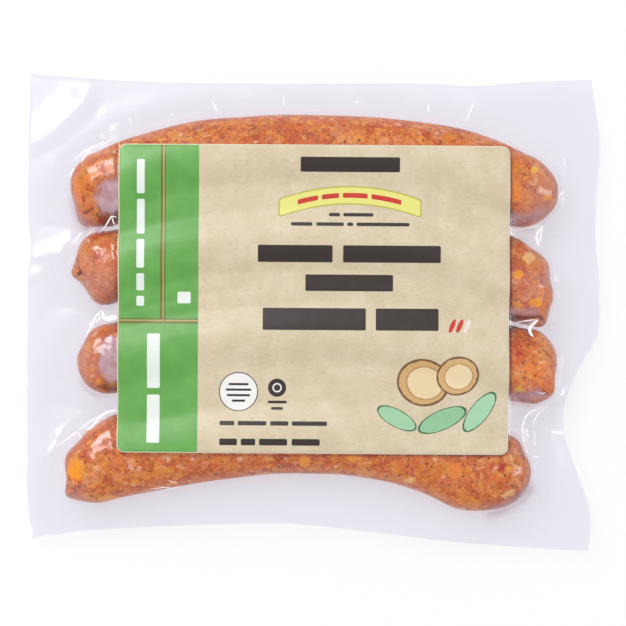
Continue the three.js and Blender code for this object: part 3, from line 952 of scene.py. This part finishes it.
def sausage_finish():
    """Coarse smoked sausage in its casing: ochre, red and amber bits of meat, lumps of cheese,
    pale fat and pepper."""
    shader = Shader("smoked_sausage")
    wobble = shader.add("ShaderNodeTexNoise", {"Vector": shader.place, "Scale": 520.0, "Detail": 3.0})
    uneven = shader.vector("MULTIPLY_ADD", wobble.outputs["Color"], (MEAT_WARP,) * 3, shader.place)
    coarse, bits, fine = (shader.cells(scale, uneven) for scale in MEAT_SCALES)
    coarse_tone, bit_tone, fine_tone = (
        shader.tones(shader.channels(cell.outputs["Color"])[0], MEAT_TONES) for cell in (coarse, bits, fine)
    )
    surface = shader.mix(shader.ramp(shader.grain(210, 2), 0.42, 0.56, 0.2, 0.85), coarse_tone, bit_tone)
    surface = shader.mix(0.34, surface, fine_tone)
    for scale, rarity, size, strength, tone in MEAT_SPECKS:
        cell = shader.cells(scale, uneven)
        speck = shader.maths(
            "MULTIPLY",
            shader.ramp(shader.channels(cell.outputs["Color"])[1], rarity, rarity + 0.03),
            shader.ramp(cell.outputs["Distance"], size * 0.55, size, strength, 0),
        )
        surface = shader.mix(speck, surface, colour(*tone))
    threads = shader.grain(640, 3, 0.6, distortion=1.2)
    off_thread = shader.maths("ABSOLUTE", shader.maths("SUBTRACT", threads, 0.5))
    thread = shader.ramp(off_thread, 0.004, 0.022, 0.5, 0)
    thread = shader.maths("MULTIPLY", thread, shader.ramp(shader.grain(110, 2), 0.48, 0.6))
    surface = shader.mix(thread, surface, colour(240, 196, 158))
    pink = shader.maths("MULTIPLY", shader.kept("pink"), 0.52)
    surface = shader.mix(pink, surface, colour(228, 156, 134))
    flat = shader.vector("MULTIPLY", uneven, (1, 1, 0))
    for x, y, width, height, degrees, tone in CHUNKS:
        middle = ((x + MEAT_SHIFT) * MM, (y + MEAT_SHIFT) * MM, 0)
        local = shader.within(flat, middle, math.radians(degrees), (width * MM, height * MM, 1))
        near = shader.ramp(shader.vector("LENGTH", local), 0.85, 1.1, 0.95, 0)
        surface = shader.mix(near, surface, colour(*LUMP_TONES[tone]))
    shade = shader.ramp(shader.grain(1500, 2), 0.25, 0.75, 0.84, 1.14)
    surface = shader.scaled(surface, shade)
    # The rim is partly a pinker tone and partly painted light; the folds are painted shade
    for name, share, tone in (("rim_tone_and_light", 0.66, (238, 182, 166)), ("fold_shade", 0.85, (104, 40, 44))):
        surface = shader.mix(shader.maths("MULTIPLY", shader.kept(name), share), surface, colour(*tone))
    normal = shader.bump(shader.grain(700, 3, 0.6), 0.0003, 0.5)
    normal = shader.bump(bits.outputs["Distance"], 0.0005, 0.3, normal)
    return shader.finish(shader.add("ShaderNodeBsdfPrincipled", {
        "Base Color": surface, "Roughness": 0.42, "IOR": 1.42, "Specular IOR Level": 0.15, "Normal": normal,
    }))


# The print, in millimetres from the label's middle

PRINT_EDGE = 0.07  # how soft the edge of a printed shape is
BAND_EDGE = -41.8
INK = colour(44, 30, 26)
WHITE = colour(240, 246, 238)
RED = colour(206, 44, 28)
# Plain bars stand where a pack has its words: left, right, low, high
DARK_BARS = [
    (-20.3, 6.8, 13.4, 19.6), (10.6, 46.0, 13.4, 19.6), (-3.0, 28.8, 3.0, 9.0),
    (-18.4, 19.0, -11.2, -3.2), (22.6, 45.4, -11.2, -3.2), (-5.0, 31.0, 46.2, 51.6),
    (5.4, 9.4, 30.1, 31.4), (10.6, 21.5, 30.1, 31.4),
    (-8.4, -0.6, 26.6, 27.9), (0.8, 10.8, 26.6, 27.9), (12.0, 14.2, 26.6, 27.9), (15.4, 34.6, 26.6, 27.9),
    (-33.8, -28.4, -45.9, -44.3), (-27.2, -16.8, -45.9, -44.3), (-15.4, -8.8, -45.9, -44.3),
    (-7.6, 5.2, -45.9, -44.3),
    (-33.8, -27.4, -53.1, -50.7), (-26.0, -20.8, -53.1, -50.7), (-19.4, -9.2, -53.1, -50.7),
    (-7.6, 2.6, -53.1, -50.7),
    (-16.4, -9.4, -37.9, -36.9), (-15.2, -10.8, -40.2, -39.2),
]
STAMP_BARS = [
    (-30.6, -23.4, -31.4, -30.6), (-31.6, -22.4, -33.4, -32.6), (-31.2, -22.8, -35.4, -34.6),
    (-29.4, -24.6, -37.4, -36.6),
]
WHITE_BARS = [
    (-64.3, -61.5, -2.8, 0.8), (-64.3, -61.5, 2.8, 9.0), (-64.3, -61.5, 11.0, 21.4),
    (-64.3, -61.5, 23.4, 36.0), (-64.3, -61.5, 38.0, 50.4),
    (-60.2, -55.6, -52.4, -35.0), (-60.2, -55.6, -32.6, -12.8), (-49.4, -44.6, -1.8, 2.4),
]
RED_BARS = [
    (-6.0, 1.4, 36.9, 38.7), (2.8, 9.0, 36.9, 38.7), (10.4, 19.4, 36.9, 38.7), (20.8, 31.6, 36.9, 38.7),
]
RIBBON = (-12.5, 38.5, 34.9, 40.7)
RIBBON_EDGE = 0.5
RIBBON_ARCH = 0.0072
RIBBON_MIDDLE = 13.0
STAMP = (-27.0, -33.7)
RING = (-13.0, -32.2)
PAPER_WHITE = colour(246, 244, 240)
LABEL_MARGIN = 0.35  # the bare paper at the label's edge
# The lines of the band's two rules, three to a rule: left edge, width and tone
RULE_LINES = [(-55.66, 0.76, (120, 66, 28)), (-54.8, 0.5, (206, 160, 88)), (-54.2, 0.4, (88, 70, 30))]
CROSS_RULE = -8.3
# Slices and leaves: middle x and y, half width and height, turn in degrees, fill, edge
MOTIF = [
    (40.0, -30.0, 9.6, 8.6, -12, (214, 172, 112), (120, 80, 46)),
    (40.6, -30.2, 7.0, 6.2, -12, (238, 214, 168), (190, 146, 92)),
    (52.5, -27.5, 7.8, 7.0, 18, (218, 178, 118), (120, 80, 46)),
    (52.8, -27.8, 5.4, 4.8, 18, (242, 220, 176), (196, 150, 96)),
    (30.5, -43.0, 3.2, 8.0, 62, (160, 208, 164), (58, 104, 66)),
    (47.0, -43.5, 3.6, 9.6, -66, (146, 200, 152), (52, 98, 62)),
    (60.5, -40.5, 3.4, 9.0, -38, (170, 216, 176), (58, 104, 66)),
]


class Print:
    """Printed shapes on a place given in millimetres."""

    def __init__(self, shader, place):
        self.shader = shader
        self.place = place

    def bar(self, left, right, low, high, corner=0.5, place=None):
        shader = self.shader
        corner = min(corner, (right - left) / 2.001, (high - low) / 2.001)
        middle = ((left + right) / 2, (low + high) / 2, 0)
        reach = ((right - left) / 2 - corner, (high - low) / 2 - corner, 0)
        offset = shader.vector("ABSOLUTE", shader.vector("SUBTRACT", place or self.place, middle))
        past = shader.vector("MAXIMUM", shader.vector("SUBTRACT", offset, reach), (0, 0, 0))
        return shader.ramp(shader.vector("LENGTH", past), corner - PRINT_EDGE, corner + PRINT_EDGE, 1, 0)

    def bars(self, rows, surface, ink, corner=0.5, place=None):
        for row in rows:
            surface = self.shader.mix(self.bar(*row, corner, place), surface, ink)
        return surface

    def oval(self, x, y, half_width, half_height, degrees=0.0):
        """How far out a place is on an oval: 1 at its edge."""
        size = (half_width, half_height, 1)
        local = self.shader.within(self.place, (x, y, 0), math.radians(degrees), size)
        return self.shader.vector("LENGTH", local)

    def disc(self, surface, x, y, radius, ink):
        soft = PRINT_EDGE / radius
        on_disc = self.shader.ramp(self.oval(x, y, radius, radius), 1 - soft, 1 + soft, 1, 0)
        return self.shader.mix(on_disc, surface, ink)


def kraft_paper(shader, place):
    fibre = shader.grain(1.1, 4, 0.65, place=shader.vector("MULTIPLY", place, (0.4, 1, 1)))
    mottle = shader.grain(0.1, 3, 0.5, place=place)
    paper = shader.mix(shader.ramp(mottle, 0.3, 0.7), colour(216, 198, 166), colour(226, 210, 180))
    stains = shader.ramp(shader.grain(0.35, 3, place=place), 0.5, 0.75, 0, 0.5)
    paper = shader.mix(stains, paper, colour(212, 198, 158))
    paper = shader.mix(shader.ramp(fibre, 0.54, 0.72, 0, 0.4), paper, colour(186, 164, 128))
    paper = shader.mix(shader.ramp(fibre, 0.44, 0.3, 0, 0.5), paper, colour(238, 226, 204))
    return paper, fibre


def green_band(shader, printing):
    mottle = shader.grain(0.12, 3, 0.5, place=printing.place)
    band = shader.mix(shader.ramp(mottle, 0.3, 0.7), colour(94, 163, 68), colour(105, 175, 78))
    for left, width, tone in RULE_LINES:
        band = printing.bars([(left, left + width, CROSS_RULE, 58)], band, colour(*tone), 0.02)
        low = CROSS_RULE + (left - RULE_LINES[1][0])
        band = printing.bars([(-80, BAND_EDGE, low, low + width)], band, colour(*tone), 0.02)
    return printing.bars(WHITE_BARS, band, WHITE)


def label_finish():
    """Printed paper: a green band and a kraft field, with plain shapes where a print would be."""
    shader = Shader("printed_label")
    middle = (LABEL_CENTRE[0] * MM, LABEL_CENTRE[1] * MM, 0)
    place = shader.within(shader.place, middle, LABEL_TURN, (MM, MM, MM))
    place = shader.vector("MULTIPLY", place, (1, 1, 0))
    printing = Print(shader, place)
    surface, fibre = kraft_paper(shader, place)
    across = shader.add("ShaderNodeSeparateXYZ", {0: place}).outputs["X"]
    surface = printing.bars(DARK_BARS, surface, INK)
    from_middle = shader.maths("SUBTRACT", across, RIBBON_MIDDLE)
    arch = shader.maths("MULTIPLY", shader.maths("MULTIPLY", from_middle, from_middle), RIBBON_ARCH)
    on_ribbon = shader.vector("ADD", place, shader.add("ShaderNodeCombineXYZ", {1: arch}).outputs[0])
    left, right, low, high = RIBBON
    edge = (left - RIBBON_EDGE, right + RIBBON_EDGE, low - RIBBON_EDGE, high + RIBBON_EDGE)
    surface = printing.bars([edge], surface, colour(190, 180, 66), 1.2, on_ribbon)
    surface = printing.bars([RIBBON], surface, colour(238, 232, 128), 0.9, on_ribbon)
    surface = printing.bars(RED_BARS, surface, RED, 0.4, on_ribbon)
    surface = printing.disc(surface, *STAMP, 7.1, INK)
    surface = printing.disc(surface, *STAMP, 6.75, PAPER_WHITE)
    surface = printing.bars(STAMP_BARS, surface, INK, 0.3)
    for radius, ink in ((3.3, INK), (1.7, PAPER_WHITE), (1.2, INK)):
        surface = printing.disc(surface, *RING, radius, ink)
    for x, tone in ((50.4, RED), (53.1, RED), (55.8, colour(244, 226, 214))):
        stroke = shader.ramp(printing.oval(x, -9.4, 0.85, 2.7, -24), 0.92, 1.06, 1, 0)
        surface = shader.mix(stroke, surface, tone)
    wavy = shader.maths("MULTIPLY_ADD", shader.grain(0.5, 2, place=place), 0.12, 0.86)
    for x, y, width, height, degrees, fill, line in MOTIF:
        out = printing.oval(x, y, width, height, degrees)
        rough = shader.maths("DIVIDE", out, wavy)
        surface = shader.mix(shader.ramp(out, 0.98, 1.02, 1, 0), surface, colour(*line))
        surface = shader.mix(shader.ramp(rough, 0.98, 1.0, 1, 0), surface, colour(*fill))
    past_band = shader.ramp(across, BAND_EDGE - 0.08, BAND_EDGE + 0.08)
    surface = shader.mix(past_band, green_band(shader, printing), surface)
    half_width, half_depth = LABEL_WIDTH / 2 - LABEL_MARGIN, LABEL_DEPTH / 2 - LABEL_MARGIN
    inside = printing.bar(-half_width, half_width, -half_depth, half_depth, LABEL_CORNER - LABEL_MARGIN)
    surface = shader.mix(inside, colour(246, 232, 208), surface)
    normal = shader.bump(fibre, 0.00004, 0.5)
    normal = shader.bump(shader.grain(0.22, 2, 0.5, place=place), 0.0005, 0.3, normal)
    return shader.finish(shader.add("ShaderNodeBsdfPrincipled", {
        "Base Color": surface, "Roughness": 0.45, "Normal": normal,
        "Coat Weight": 0.3, "Coat Roughness": 0.25,
    }))


def table_finish():
    shader = Shader("pale_table")
    return shader.finish(shader.add("ShaderNodeBsdfPrincipled", {
        "Base Color": (0.4, 0.4, 0.4, 1), "Roughness": 0.9, "Specular IOR Level": 0.0,
        "Emission Color": (1, 1, 1, 1), "Emission Strength": 0.62,
    }))


# The stage

def make_table():
    plane = bmesh.new()
    bmesh.ops.create_grid(plane, x_segments=1, y_segments=1, size=3)
    mesh = as_mesh(plane, "table")
    mesh.materials.append(table_finish())
    table = in_scene("table", mesh)


def make_camera():
    data = bpy.data.cameras.new("camera")
    data.lens = LENS
    data.sensor_width = SENSOR
    camera = in_scene("camera", data)
    height = VIEW_PLANE + VIEW_WIDTH * LENS / SENSOR
    camera.location = (VIEW_CENTRE[0] * MM, VIEW_CENTRE[1] * MM, height * MM)
    bpy.context.scene.camera = camera


def make_light(name, direction, distance, size, radiance, mirrored=True):
    """A soft light from a direction: one that is only mirrored in the film, or one that only
    lights the pack."""
    data = bpy.data.lights.new(name, "AREA")
    data.shape = "RECTANGLE"
    data.size, data.size_y = size
    data.energy = radiance * math.pi * size[0] * size[1]
    light = in_scene(name, data)
    way = Vector(direction).normalized()
    light.location = way * distance
    light.rotation_euler = way.to_track_quat("Z", "Y").to_euler()
    light.visible_glossy = mirrored
    light.visible_diffuse = not mirrored


def make_lights():
    make_light("window", (-0.54, 0.68, 0.5), 1.3, (0.42, 0.5), 13.0)
    make_light("side", (0.9, -0.05, 0.3), 1.3, (0.3, 0.8), 6.0)
    make_light("panel", (-0.36, 0.42, 0.84), 1.4, (0.42, 0.42), 9.5)
    make_light("ceiling", (-0.25, 0.35, 0.9), 1.8, (1.2, 1.2), 3.4, mirrored=False)
    world = bpy.data.worlds.new("room")
    world.use_nodes = True
    world.node_tree.nodes["Background"].inputs["Color"].default_value = (0.97, 0.98, 1.0, 1)
    world.node_tree.nodes["Background"].inputs["Strength"].default_value = 0.62
    bpy.context.scene.world = world
    bpy.context.scene.view_settings.view_transform = "Standard"


make_camera()
make_lights()
make_table()
make_film(film_finish())
make_pleats(pleat_glint_finish())
flesh_material = sausage_finish()
for each in SAUSAGES:
    make_sausage(each, flesh_material)
make_label(label_finish())
